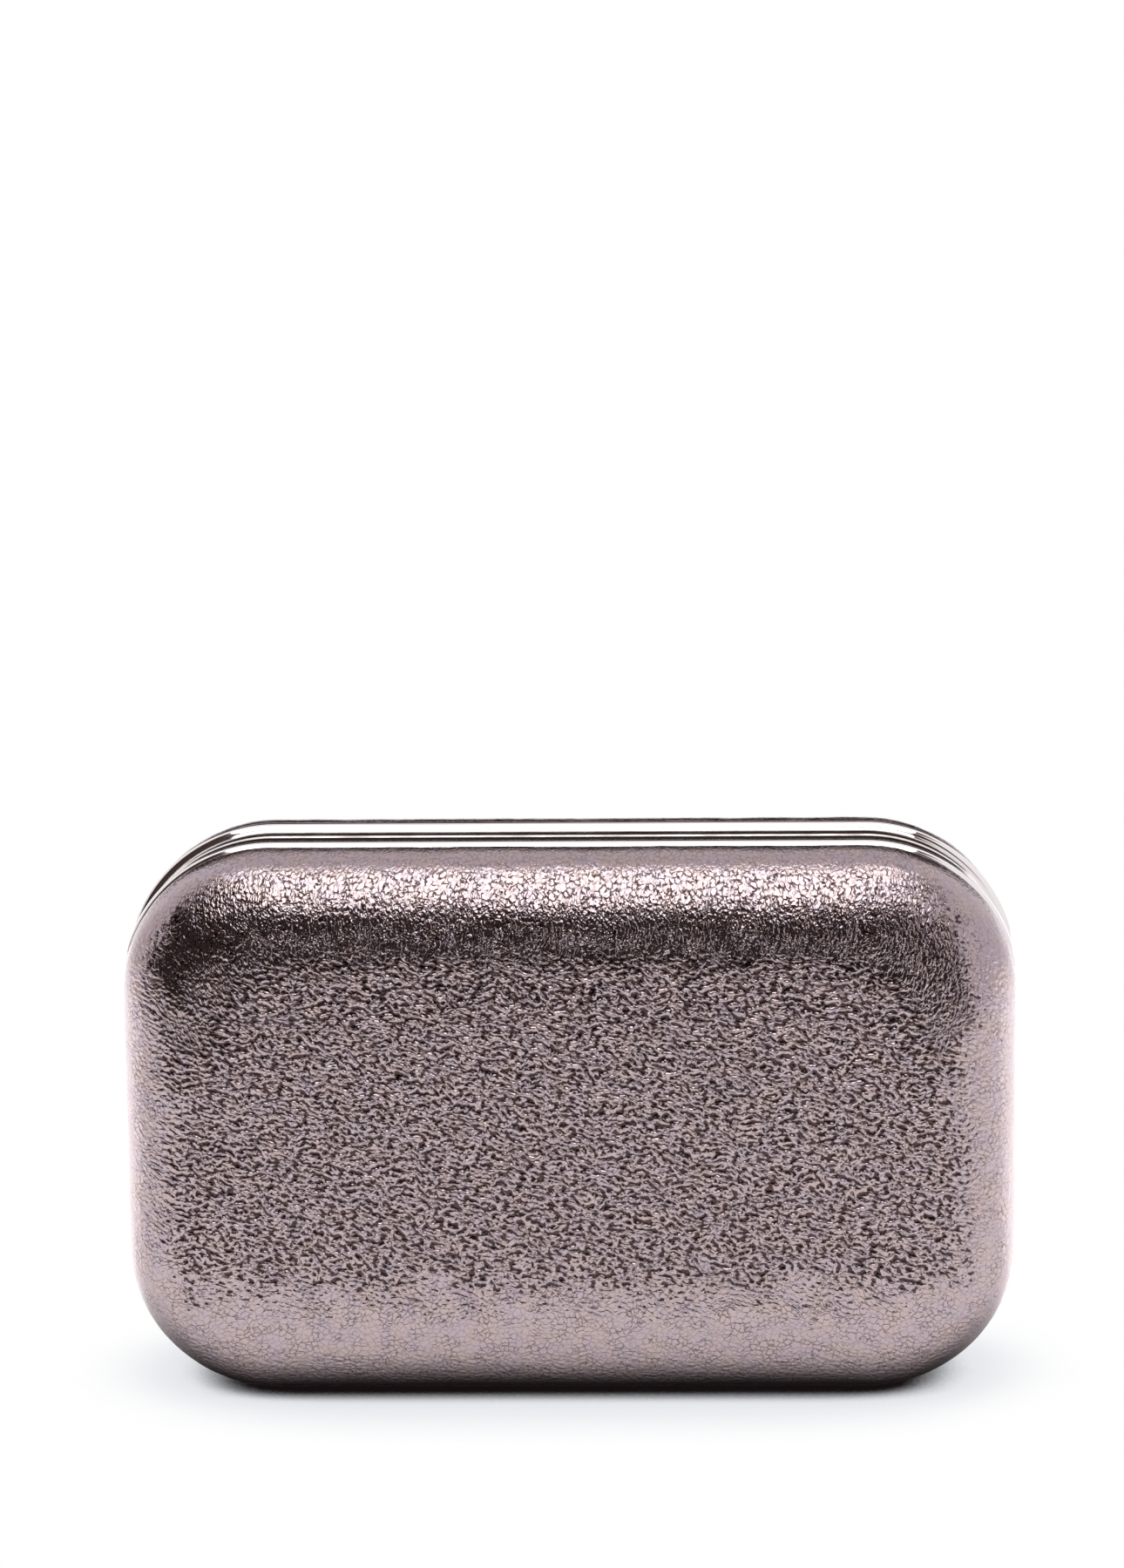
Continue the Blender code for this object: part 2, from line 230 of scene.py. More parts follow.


# Cracked metallic leather: foil laid on a dyed hide and crushed, so that it folds and breaks into
# small plates. Each plate mirrors the room on its own, with dark dye in the cracks between. The
# pattern lies on the cover's flat cut, so it follows the roll without stretching.
# The valleys between the folds are darkened with painted shade, for the dark room their sides mirror
def crackedFoilLeather():
    material, shader, add, at = startMaterial("crackedFoilLeather", {"Metallic": 1.0})
    flat = at["UV"]

    def swayed(vector, sway):
        millimetres, over = sway
        noise = add("TexNoise", {"Vector": vector, "Scale": 1 / (over * mm), "Detail": 1.0},
                    noise_dimensions="2D")
        shift = add("VectorMath", {0: noise.outputs["Color"], 1: (noiseMiddle,) * 3}, operation="SUBTRACT")
        shift = add("VectorMath", {0: shift, "Scale": millimetres * mm / noiseSwing}, operation="SCALE")
        return add("VectorMath", {0: vector, 1: shift})

    def stretched(vector, size, turn=0.0):
        wide, tall = size
        turned = add("Mapping", {"Vector": vector, "Rotation": (0, 0, turn)})
        return add("Mapping", {"Vector": turned, "Scale": (1 / (wide * mm), 1 / (tall * mm), 1)})

    def folds(size, turn, detail):
        lying = stretched(waved, size, turn)
        return add("TexNoise", {"Vector": lying, "Scale": 1.0, "Detail": detail}, noise_dimensions="2D")

    # How far a point lies from the face, down the roll towards the frame
    faceCorner = form["cornerRadius"] - leatherReveal - form["cornerTightening"] * form["rollWidth"]
    faceInset = leatherReveal + form["rollWidth"] + faceCorner
    away = outsideRectangle(add, flat, (halfWidth - faceInset, halfHeight - faceInset, 0))
    travel = add("Math", {0: away, 1: faceCorner}, operation="SUBTRACT")
    border = add("SeparateXYZ", {0: swayed(flat, leather["borderSway"])}).outputs
    sideways = add("Math", {0: border["X"]}, operation="ABSOLUTE")
    follows = {"travel": travel, "sideways": sideways, "upwards": border["Y"]}
    zones = {}
    for name, (value, start, end, *levels) in leather["zones"].items():
        zones[name] = add("MapRange", {"Value": follows[value], **ends(start * mm, end * mm, *levels)},
                          **smoothly)
    smooth, atTop = zones["calm"], zones["rolled"]
    for below, above in (("side", "upper"), ("foot", "inner")):
        smooth = add("Math", {0: smooth, 1: zones[below]}, operation="MULTIPLY")
        atTop = add("Math", {0: atTop, 1: zones[above]}, operation="MULTIPLY")

    # On the rolls the folds stand upright, and on the face they lie across it
    waved = swayed(flat, leather["foldSway"])
    faceShape = folds(leather["foldMm"], leather["foldTurn"], leather["foldDetail"])
    faceFolds = add("Math", {0: faceShape, 1: leather["foldHeight"]}, operation="MULTIPLY")
    rollShape = folds(leather["rollFoldMm"], 0.0, leather["rollFoldDetail"])
    rollFolds = add("Math", {0: rollShape, 1: noiseMiddle}, operation="SUBTRACT")
    rollFolds = add("Math", {0: rollFolds, 1: zones["rollFolds"]}, operation="MULTIPLY")

    grains = {}
    for name, (size, detail) in leather["grains"].items():
        grains[name] = add("TexNoise", {"Vector": flat, "Scale": 1 / (size * mm), "Detail": detail},
                           noise_dimensions="2D")

    # The cracks between the plates come and go: some stretches are open, others only a hair line
    cracks, stretches = [], []
    for size, width, grain, levels in zip(leather["cellMm"], leather["crackWidth"], ("open", "rollOpen"),
                                          leather["openLevels"]):
        cell = stretched(swayed(waved, leather["cellSway"]), size)
        edge = add("TexVoronoi", {"Vector": cell, "Scale": 1.0},
                   feature="DISTANCE_TO_EDGE", voronoi_dimensions="2D")
        cracks.append(add("MapRange", {"Value": edge, **ends(0.0, width, 1.0, 0.0)}, **smoothly))
        stretches.append(add("MapRange", {"Value": grains[grain], **ends(*levels)}, **smoothly))

    # What the face and the top roll each have, blended where one passes into the other
    blends = {"folds": (faceFolds, rollFolds), "cracks": cracks, "open": stretches}
    blends.update({name: leather[name] for name in ("crackDepth", "crackShade", "pitDepth")})
    for name, (face, roll) in blends.items():
        blends[name] = add("Mix", {"Factor": atTop, "A": face, "B": roll})
    crack = add("Math", {0: blends["cracks"], 1: blends["open"]}, operation="MULTIPLY")
    crack = add("Math", {0: crack, 1: zones["calm"]}, operation="MULTIPLY")
    cut = add("Math", {0: crack, 1: blends["crackDepth"]}, operation="MULTIPLY")
    pits = add("Math", {0: grains["pit"], 1: blends["pitDepth"]}, operation="MULTIPLY")
    relief = add("Math", {0: blends["folds"], 1: smooth}, operation="MULTIPLY")
    relief = add("Math", {0: relief, 1: cut}, operation="SUBTRACT")
    relief = add("Math", {0: relief, 1: pits})
    bump = add("Bump", {"Height": relief, "Distance": mm})

    # Painted shade in the valleys between the folds: fewer where the cover is smooth, crowded under the top
    # roll
    crowd = add("Math", {0: zones["crowd"], 1: zones["upper"]}, operation="MULTIPLY")
    fades = {
        "lift": (smooth, leather["zones"]["side"][-1], 1.0, leather["paintedFoldShadeLift"], 0.0),
        "face": (atTop, *leather["paintedFoldShadeEnds"], 1.0, 0.0),
        "gloss": (crack, 0.0, 1.0, *leather["roughness"]),
    }
    for name, (value, *levels) in fades.items():
        fades[name] = add("MapRange", {"Value": value, **ends(*levels)}, **smoothly)
    lift = add("Math", {0: fades["lift"], 1: crowd}, operation="SUBTRACT")
    paintedFoldShade = add("Math", {0: faceShape, 1: lift})
    paintedFoldShade = add("MapRange", {"Value": paintedFoldShade, **ends(*leather["paintedFoldShade"], 0.0, leather["paintedFoldShadeStrength"])},
                 **smoothly)
    paintedFoldShade = add("Math", {0: paintedFoldShade, 1: fades["face"]}, operation="MULTIPLY")

    tint = add("ValToRGB", {"Fac": grains["tint"]})
    stops = tint.color_ramp.elements
    stops.new(noiseMiddle)
    for stop, position, plate in zip(stops, leather["plateStops"], leather["plates"]):
        stop.position = position
        stop.color = toLinear(plate)
    # Dye in the cracks, and painted shade in the fold valleys, both in the dye colour
    shade = add("Math", {0: crack, 1: blends["crackShade"]}, operation="MULTIPLY")
    shade = add("Math", {0: shade, 1: paintedFoldShade}, operation="MAXIMUM")
    colour = add("Mix", {"Factor": shade, "A": tint, "B": toLinear(leather["dyeAndShade"])}, data_type="RGBA")
    setInputs(shader, {"Base Color": colour, "Roughness": fades["gloss"], "Normal": bump})
    return material


nickel = {
    "colour": "#f2efed",
    "smearMm": 7,
    "smearFrom": (0.35, 0.7),
    "roughness": (0.05, 0.11),
    "rippleMm": 5,
    "rippleDepth": 0.02 * mm,
}


# Polished nickel plate on a drawn steel rail: a warm mirror, with soft smears in its gloss and a ripple
# so slight that it only loosens what it mirrors
def polishedNickel():
    material, shader, add, at = startMaterial("polishedNickel", {
        "Metallic": 1.0, "Base Color": toLinear(nickel["colour"])})
    smears = add("TexNoise", {"Vector": at["Object"], "Scale": 1 / (nickel["smearMm"] * mm)})
    gloss = add("MapRange", {"Value": smears, **ends(*nickel["smearFrom"], *nickel["roughness"])})
    ripple = add("TexNoise", {"Vector": at["Object"], "Scale": 1 / (nickel["rippleMm"] * mm), "Detail": 1.0})
    bump = add("Bump", {"Height": ripple, "Distance": nickel["rippleDepth"]})
    setInputs(shader, {"Roughness": gloss, "Normal": bump})
    return material


plating = {
    "steel": "#bdbab6",
    "steelRoughness": 0.2,
    "magnet": "#8f9092",
    "magnetRoughness": 0.32,
    "lines": "#f0ece8",
    "lineMm": (6, 0.12, 0.12),
    "lineDepth": 0.01 * mm,
    "lineRoughness": 0.15,
}


# Plated spring steel, blanked and tumbled: a satin grey metal with fine brushed lines
def platedSteel(name, finish):
    material, shader, add, at = startMaterial(name, {"Metallic": 1.0})
    along = add("Mapping", {"Vector": at["Object"], "Scale": [1 / (size * mm) for size in plating["lineMm"]]})
    lines = add("TexNoise", {"Vector": along, "Scale": 1.0})
    shade = add("Mix", {"Factor": lines, "A": toLinear(plating[finish]), "B": toLinear(plating["lines"])},
                data_type="RGBA")
    roughness = plating[finish + "Roughness"]
    gloss = add("MapRange", {
        "Value": lines, **ends(0.0, 1.0, roughness, roughness + plating["lineRoughness"])})
    bump = add("Bump", {"Height": lines, "Distance": plating["lineDepth"]})
    setInputs(shader, {"Base Color": shade, "Roughness": gloss, "Normal": bump})
    return material


board = {
    "dark": "#3f3833",
    "light": "#675c53",
    "roughness": 0.85,
    "fibreMm": 0.8,
    "fibreDetail": 5.0,
    "fibreTwist": 1.5,
    "fibreDepth": 0.15 * mm,
}


# Pressed fibreboard: matt grey-brown board with fibres pressed into its face
def pressedFibreboard():
    material, shader, add, at = startMaterial("pressedFibreboard", {"Roughness": board["roughness"]})
    fibres = add("TexNoise", {
        "Vector": at["Object"], "Scale": 1 / (board["fibreMm"] * mm), "Detail": board["fibreDetail"],
        "Distortion": board["fibreTwist"]})
    shade = add("Mix", {"Factor": fibres, "A": toLinear(board["dark"]), "B": toLinear(board["light"])},
                data_type="RGBA")
    bump = add("Bump", {"Height": fibres, "Distance": board["fibreDepth"]})
    setInputs(shader, {"Base Color": shade, "Normal": bump})
    return material


satin = {
    "light": "#a8979a",
    "dark": "#7b6a6b",
    "sheenTint": "#e8dcd8",
    "sheen": 0.6,
    "sheenRoughness": 0.35,
    "roughness": 0.42,
    "threadMm": 0.5,
    "threadSway": 0.6,
    "pickMm": 1.25,
    "pickSway": 0.4,
    "threadDepth": 0.03 * mm,
    "cloudMm": 12,
    "cloudDetail": 3.0,
}
wavePitch = 0.314  # how far apart the bands of a Wave Texture lie at a scale of 1


# Woven satin glued into the dish: long floats give it a soft sheen. Its threads are 0.1 mm apart,
# and are drawn five times as coarse so that they show.
def wovenSatin():
    material, shader, add, at = startMaterial("wovenSatin", {
        "Roughness": satin["roughness"], "Sheen Weight": satin["sheen"],
        "Sheen Roughness": satin["sheenRoughness"], "Sheen Tint": toLinear(satin["sheenTint"])})
    floats = add("TexWave", {
        "Vector": at["UV"], "Scale": wavePitch / (satin["threadMm"] * mm), "Detail": 1.0,
        "Detail Scale": 0.3, "Distortion": satin["threadSway"]}).outputs["Fac"]
    picks = add("TexWave", {
        "Vector": at["UV"], "Scale": wavePitch / (satin["pickMm"] * mm), "Distortion": satin["pickSway"]},
        bands_direction="Y").outputs["Fac"]
    weave = add("Math", {0: floats, 1: picks}, operation="MULTIPLY")
    cloud = add("TexNoise", {
        "Vector": at["Object"], "Scale": 1 / (satin["cloudMm"] * mm), "Detail": satin["cloudDetail"]})
    mixed = add("Math", {0: weave, 1: cloud, 2: cloud}, operation="MULTIPLY_ADD")
    shade = add("Mix", {"Factor": mixed, "A": toLinear(satin["dark"]), "B": toLinear(satin["light"])},
                data_type="RGBA")
    bump = add("Bump", {"Height": weave, "Distance": satin["threadDepth"]})
    setInputs(shader, {"Base Color": shade, "Normal": bump})
    return material


thread = {
    "dark": "#a8979a",
    "light": "#d6c9c9",
    "roughness": 0.55,
    "sheen": 0.3,
    "plyMm": 0.3,
}


# Twisted polyester sewing thread: a little lighter than the satin, with fine plies
def sewingThread():
    material, shader, add, at = startMaterial("polyesterThread", {
        "Roughness": thread["roughness"], "Sheen Weight": thread["sheen"]})
    plies = add("TexNoise", {"Vector": at["Object"], "Scale": 1 / (thread["plyMm"] * mm), "Detail": 1.0})
    shade = add("Mix", {"Factor": plies, "A": toLinear(thread["dark"]), "B": toLinear(thread["light"])},
                data_type="RGBA")
    setInputs(shader, {"Base Color": shade})
    return material


materials = {
    "leather": crackedFoilLeather(),
    "nickel": polishedNickel(),
    "steel": platedSteel("nickelPlatedSteel", "steel"),
    "magnet": platedSteel("zincPlatedMagnet", "magnet"),
    "board": pressedFibreboard(),
    "satin": wovenSatin(),
    "thread": sewingThread(),
}
print("materials made")


def outwards(mesh):
    shape = bmesh.new()
    shape.from_mesh(mesh)
    bmesh.ops.recalc_face_normals(shape, faces=shape.faces)
    shape.to_mesh(mesh)
    shape.free()
    return mesh


# Shape of a half

depthToFace = coverDepth - form["faceDome"]


def rollStations(offset, steps):
    power = 2 / form["rollPower"]
    stations = []
    for step in range(steps + 1):
        angle = math.pi / 2 * step / steps
        across = math.sin(angle) ** power
        along = max(math.cos(angle), 0) ** power
        inwards = form["rollWidth"] * (1 - along)
        slopeOut = across ** (form["rollPower"] - 1) / depthToFace
        slopeIn = along ** (form["rollPower"] - 1) / form["rollWidth"]
        length = math.hypot(slopeOut, slopeIn)
        distance = leatherStart + depthToFace * across - offset * slopeOut / length
        inset = leatherReveal + inwards + offset * slopeIn / length
        radius = form["cornerRadius"] - leatherReveal - form["cornerTightening"] * inwards
        stations.append(insetStation(distance, inset, radius - offset * slopeIn / length))
    return stations


def insetStation(distance, inset, radius):
    return distance, halfWidth - inset, halfHeight - inset, radius


# One side of a rounded rectangle, evenly spaced from the middle of a corner to just before the next
def sideOutline(halfAlong, halfAcross, radius, count):
    straight = 2 * (halfAlong - radius)
    quarter = radius * math.pi / 4
    travel = np.arange(count) * (straight + 2 * quarter) / count
    startAngle = math.pi / 4 - np.minimum(travel, quarter) / radius
    endAngle = np.maximum(travel - quarter - straight, 0) / radius
    along = halfAlong - radius - np.clip(travel - quarter, 0, straight)
    along = along + radius * (np.sin(startAngle) - np.sin(endAngle))
    across = halfAcross - radius + radius * np.cos(startAngle + endAngle)
    return along, across


def ringPoints(side, station, countX, countZ):
    distance, halfX, halfZ, radius = station
    topX, topZ = sideOutline(halfX, halfZ, radius, countX)
    leftZ, leftX = sideOutline(halfZ, halfX, radius, countZ)
    x = np.concatenate([topX, -leftX, -topX, leftX])
    z = np.concatenate([topZ, leftZ, -topZ, -leftZ])
    return np.column_stack([x, np.full(len(x), side * distance), z + halfHeight])


# The face inside a ring: a grid that is stretched between the four sides of the ring
def facePoints(ring, side, rise, countX, countZ):
    top = ring[0:countX + 1]
    left = ring[countX:countX + countZ + 1]
    bottom = ring[countX + countZ:2 * countX + countZ + 1][::-1]
    right = np.concatenate([ring[2 * countX + countZ:], ring[:1]])[::-1]
    u = np.linspace(0, 1, countX + 1)[:, None, None]
    v = np.linspace(0, 1, countZ + 1)[None, :, None]
    edges = (1 - v) * top[:, None] + v * bottom[:, None] + (1 - u) * right[None] + u * left[None]
    corners = (1 - v) * ((1 - u) * top[0] + u * top[-1]) + v * ((1 - u) * bottom[0] + u * bottom[-1])
    grid = edges - corners
    spread = (1 - (2 * u - 1) ** 2) * (1 - (2 * v - 1) ** 2)
    grid[:, :, 1] += side * rise * np.sin(spread[:, :, 0] * math.pi / 2) ** form["domePower"]
    return grid


# Where the rings of a skin lie on its flat cut: the face's own ring, grown by the length of the roll
def flatRings(stations, countX, countZ):
    rings = []
    halfX, halfZ, radius = stations[-1][1:]
    grown = 0
    for before, after in zip([*stations[1:], stations[-1]][::-1], stations[::-1]):
        grown += math.hypot(before[0] - after[0], before[1] - after[1])
        rings.append(ringPoints(1, (0, halfX + grown, halfZ + grown, radius + grown), countX, countZ))
    return np.concatenate(rings[::-1])[:, [0, 2]] - (0, halfHeight)


# A dish with a true thickness, from the face of its inner skin over the rim to its outer face. Both
# faces are grids, unless the inner one is hidden by the next layer. Its UV map is the flat cut.
def dishMesh(side, outer, inner, countX, countZ, rise, hiddenInside=False):
    count = 2 * (countX + countZ)
    stations = list(reversed(inner)) + outer
    points = [np.concatenate([ringPoints(side, s, countX, countZ) for s in stations])]
    insideOut = flatRings(inner, countX, countZ).reshape(len(inner), count, 2)[::-1].reshape(-1, 2)
    flat = [insideOut, flatRings(outer, countX, countZ)]
    faces = []
    for ring in range(len(stations) - 1):
        start = ring * count
        for i in range(count):
            j = (i + 1) % count
            faces.append((start + i, start + j, start + count + j, start + count + i))
    total = len(stations) * count
    shown = [len(inner) * count, total] if hiddenInside else [0, len(inner) * count]
    for ring in [len(stations) - 1] if hiddenInside else [len(stations) - 1, 0]:
        border = ring * count + np.arange(count + 1) % count
        grid = facePoints(points[0][border[:-1]], side, rise, countX, countZ)
        inside = grid[1:-1, 1:-1].reshape(-1, 3)
        index = np.zeros((countX + 1, countZ + 1), int)
        index[1:-1, 1:-1] = total + np.arange(len(inside)).reshape(countX - 1, countZ - 1)
        index[:, 0] = border[:countX + 1]
        index[-1, :] = border[countX:countX + countZ + 1]
        index[:, -1] = border[countX + countZ:2 * countX + countZ + 1][::-1]
        index[0, :] = border[2 * countX + countZ:][::-1]
        corners = np.stack([index[:-1, :-1], index[1:, :-1], index[1:, 1:], index[:-1, 1:]], -1)
        faces += [tuple(f) for f in corners.reshape(-1, 4).tolist()]
        points.append(inside)
        flat.append(inside[:, [0, 2]] - (0, halfHeight))
        if bool(ring) == hiddenInside:
            shown += [total, total + len(inside)]
        total += len(inside)
    if hiddenInside:
        centre = points[0][:count].mean(axis=0) + (0, side * rise, 0)
        points.append(centre[None])
        flat.append(np.zeros((1, 2)))
        faces += [((i + 1) % count, i, total) for i in range(count)]
        total += 1
    mesh = bpy.data.meshes.new("dish")
    mesh.from_pydata(np.concatenate(points), [], faces)
    share = np.zeros(total, dtype=np.float32)
    for first, last in zip(shown[::2], shown[1::2]):
        share[first:last] = 1
    mesh.attributes.new("shownShare", "FLOAT", "POINT").data.foreach_set("value", share)
    flat = np.concatenate(flat)
    corner = np.zeros(len(mesh.loops), dtype=np.int32)
    mesh.loops.foreach_get("vertex_index", corner)
    mesh.uv_layers.new(name="flatCut").data.foreach_set("uv", flat[corner].astype(np.float32).ravel())
    return outwards(mesh)


# Soft unevenness of a covered board, only on the skin that shows
def softReliefTree():
    add, given = startTree("softRelief", Float=("Height", "Grain", "Fine Height", "Fine Grain"))
    lifts = []
    for tall, grain in (("Height", "Grain"), ("Fine Height", "Fine Grain")):
        size = add("Math", {0: 1.0, 1: given[grain]}, operation="DIVIDE")
        place = add("GeometryNodeInputPosition")
        waves = add("TexNoise", {"Vector": place, "Scale": size, "Detail": 1.0})
        lift = add("Math", {0: waves, 1: noiseMiddle}, operation="SUBTRACT")
        lifts.append(add("Math", {0: lift, 1: given[tall]}, operation="MULTIPLY"))
    total = add("Math", {0: lifts[0], 1: lifts[1]})
    share = add("GeometryNodeInputNamedAttribute", {"Name": "shownShare"})
    total = add("Math", {0: total, 1: share}, operation="MULTIPLY")
    normal = add("GeometryNodeInputNormal")
    push = add("VectorMath", {0: normal, "Scale": total}, operation="SCALE")
    moved = add("GeometryNodeSetPosition", {"Geometry": given["Geometry"], "Offset": push})
    return endTree(moved, given["Material"])


softRelief = softReliefTree()


def withRelief(mesh, piece, material):
    return runTree(mesh, softRelief, {
        "Height": piece["reliefHeight"], "Grain": piece["reliefGrain"], "Fine Height": piece["foldHeight"],
        "Fine Grain": piece["foldGrain"], "Material": material,
    })


# Leather covers

cover = {
    "countX": 280,
    "countZ": 150,
    "rollSteps": 52,
    "innerSteps": 4,
    "thickness": 1.5 * mm,
    "edgeRadius": 0.8 * mm,
    "edgeSteps": 4,
    "reliefHeight": 0.25 * mm,
    "reliefGrain": 9 * mm,
    "foldHeight": 0.10 * mm,
    "foldGrain": 2.2 * mm,
}


def coverMesh(side):
    outer = []
    for step in range(cover["edgeSteps"]):
        angle = math.pi / 2 * step / cover["edgeSteps"]
        distance = leatherStart + cover["edgeRadius"] * (1 - math.cos(angle))
        inset = leatherReveal + cover["edgeRadius"] * (1 - math.sin(angle))
        outer.append(insetStation(distance, inset, form["cornerRadius"] - inset))
    outer += [s for s in rollStations(0, cover["rollSteps"]) if s[0] > leatherStart + cover["edgeRadius"]]
    inner = rollStations(cover["thickness"], cover["innerSteps"])
    mesh = dishMesh(side, outer, inner, cover["countX"], cover["countZ"], form["faceDome"], hiddenInside=True)
    return withRelief(mesh, cover, materials["leather"])


for half, side in halves.items():
    addPiece(f"{half}LeatherCover", coverMesh(side), materials["leather"], bodies[half],
             [f"{half}_leather_cover"], smoothAngle=60)
print("leather covers made")


# Frame rails

rail = {
    "wall": 1.0 * mm,
    "beadWidth": 3.4 * mm,
    "beadHeight": 1.0 * mm,
    "crestFlat": 0.6 * mm,
    "flangeDepth": 6.5 * mm,
    "flangeThickness": 1.0 * mm,
    "openingAngle": math.radians(100),
    "flankSteps": 9,
    "cornerSteps": 28,
}

hinge = {
    "names": ("left", "right"),
    "gap": 0.3 * mm,
    "notchReach": 2.45 * mm,
    "notchTop": 2.95 * mm,
    "rimReach": 3.35 * mm,
    "rimTop": 6.2 * mm,
    "overrun": 1 * mm,
}


# Section of a rail as (distance from the seam, depth inside the crowns)
def railSection():
    reach = (rail["beadWidth"] - rail["crestFlat"]) / 2
    radius = (reach ** 2 + rail["beadHeight"] ** 2) / (2 * rail["beadHeight"])
    sweep = 2 * math.atan2(rail["beadHeight"], reach)
    angles = [sweep * step / rail["flankSteps"] for step in range(rail["flankSteps"] + 1)]
    flank = [(radius * math.sin(a), radius * (1 - math.cos(a))) for a in angles]
    crestStart = railWidth - rail["beadWidth"] + reach
    crestEnd = railWidth - reach
    seamSlope = math.tan((math.pi - rail["openingAngle"]) / 2)
    seamEdge = seamHalf + (hingeHeight - rail["beadHeight"]) / seamSlope + seamHalf
    section = [(seamHalf, rail["flangeDepth"]), (seamHalf, hingeHeight), (seamEdge, rail["beadHeight"])]
    section += [(crestStart - along, drop) for along, drop in reversed(flank)]
    section += [(crestEnd + along, drop) for along, drop in flank]
    below = rail["beadHeight"] + rail["wall"]
    behind = seamHalf + rail["flangeThickness"]
    return section + [(railWidth, below), (behind, below), (behind, rail["flangeDepth"])]


# A section carried round the rounded rectangle of the frame
def framedProfileTree():
    add, given = startTree("framedProfile", Float=("Width", "Height", "Corner Radius", "Rise"),
                           Int=("Corner Steps",))
    path = add("GeometryNodeCurvePrimitiveQuadrilateral", {
        "Width": given["Width"], "Height": given["Height"]})
    path = add("GeometryNodeFilletCurve", {
        "Curve": path, "Radius": given["Corner Radius"], "Count": given["Corner Steps"]}, mode="POLY")
    section = add("GeometryNodeMeshToCurve", {"Mesh": given["Geometry"]})
    swept = add("GeometryNodeCurveToMesh", {"Curve": path, "Profile Curve": section})
    rise = add("CombineXYZ", {"Z": given["Rise"]})
    stood = add("GeometryNodeTransform", {
        "Geometry": swept, "Rotation": (math.pi / 2, 0, 0), "Translation": rise})
    return endTree(stood, given["Material"])


def boxMesh(low, high):
    shape = bmesh.new()
    bmesh.ops.create_cube(shape, size=1)
    for vert in shape.verts:
        for axis in range(3):
            vert.co[axis] = high[axis] if vert.co[axis] > 0 else low[axis]
    mesh = bpy.data.meshes.new("box")
    shape.to_mesh(mesh)
    shape.free()
    return mesh


def cutMesh(mesh, cutterMeshes):
    item = addObject("working", outwards(mesh))
    cutters = [addObject("cutter", cutter) for cutter in cutterMeshes]
    for cutter in cutters:
        modifier = item.modifiers.new("cut", "BOOLEAN")
        modifier.operation = "DIFFERENCE"
        modifier.solver = "EXACT"
        modifier.object = cutter
    cut = bakedMesh(item)
    for cutter in cutters:
        bpy.data.objects.remove(cutter, do_unlink=True)
    return cut


# Space round each hinge that is cut out of the rails, or out of the lining's rim
def hingeSpaces(reach, top):
    spaces = []
    for name in hinge["names"]:
        low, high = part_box(f"{name}_hinge_pin")
        spaces.append(boxMesh((low.x - hinge["gap"], -reach, -hinge["overrun"]),
                              (high.x + hinge["gap"], reach, top)))
    return spaces


framedProfile = framedProfileTree()
for half, side in halves.items():
    section = railSection()
    profile = bpy.data.meshes.new("railSection")
    profile.from_pydata([(-inset, side * distance, 0) for distance, inset in section],
                        [(i, (i + 1) % len(section)) for i in range(len(section))], [])
    swept = runTree(profile, framedProfile, {
        "Width": 2 * halfWidth, "Height": 2 * halfHeight, "Corner Radius": form["cornerRadius"],
        "Corner Steps": rail["cornerSteps"], "Rise": halfHeight, "Material": materials["nickel"],
    })
    swept = cutMesh(swept, hingeSpaces(hinge["notchReach"], hinge["notchTop"]))
    addPiece(f"{half}FrameRail", swept, materials["nickel"], bodies[half],
             [f"{half}_frame_rail"], smoothAngle=25)
print("frame rails made")


# Linings

lining = {
    "offset": 3.9 * mm,
    "thickness": 0.8 * mm,
    "countX": 130,
    "countZ": 72,
    "rollSteps": 20,
    "reliefHeight": 0.5 * mm,
    "reliefGrain": 16 * mm,
    "foldHeight": 0.12 * mm,
    "foldGrain": 4 * mm,
}


def liningMesh(side):
    skins = []
    for offset in (lining["offset"], lining["offset"] + lining["thickness"]):
        roll = rollStations(offset, lining["rollSteps"])
        skins.append([(rimStart, *roll[0][1:])] + roll)
    mesh = dishMesh(side, skins[0], skins[1], lining["countX"], lining["countZ"], form["faceDome"])
    mesh = withRelief(mesh, lining, materials["satin"])
    return cutMesh(mesh, hingeSpaces(hinge["rimReach"], hinge["rimTop"]))


for half, side in halves.items():
    addPiece(f"{half}Lining", liningMesh(side), materials["satin"], bodies[half],
             [f"{half}_lining"], smoothAngle=35)
print("linings made")


# Slip pocket on the rear lining, sewn along its sides and foot, with a turned hem at its mouth

pocket = {
    "countX": 96,
    "countZ": 48,
    "cornerRadius": 8 * mm,
    "edgeRadius": 0.3 * mm,
    "edgeShare": 0.3,
    "flatInset": 3 * mm,
    "hemHeight": 7 * mm,
    "hemThickness": 0.45 * mm,
    "hemStep": 0.4 * mm,
    "mouthSlack": 2.0 * mm,
    "stitchInset": 2.2 * mm,
    "stitchLength": 1.9 * mm,
    "stitchSpacing": 2.7 * mm,
    "threadRadius": 0.24 * mm,
    "threadSides": 8,
    "threadRings": 6,
    "cornerSteps": 8,
}
pocketLow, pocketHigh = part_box("rear_slip_pocket")
pocketHeight = pocketHigh.z - pocketLow.z


# The cloth stands a little away from the lining towards its open mouth
def pocketSlack(x, z):
    across = max(1 - (x / (pocketHigh.x - pocket["stitchInset"])) ** 2, 0)
    return pocket["mouthSlack"] * across * max((z - pocketLow.z) / pocketHeight, 0) ** 2


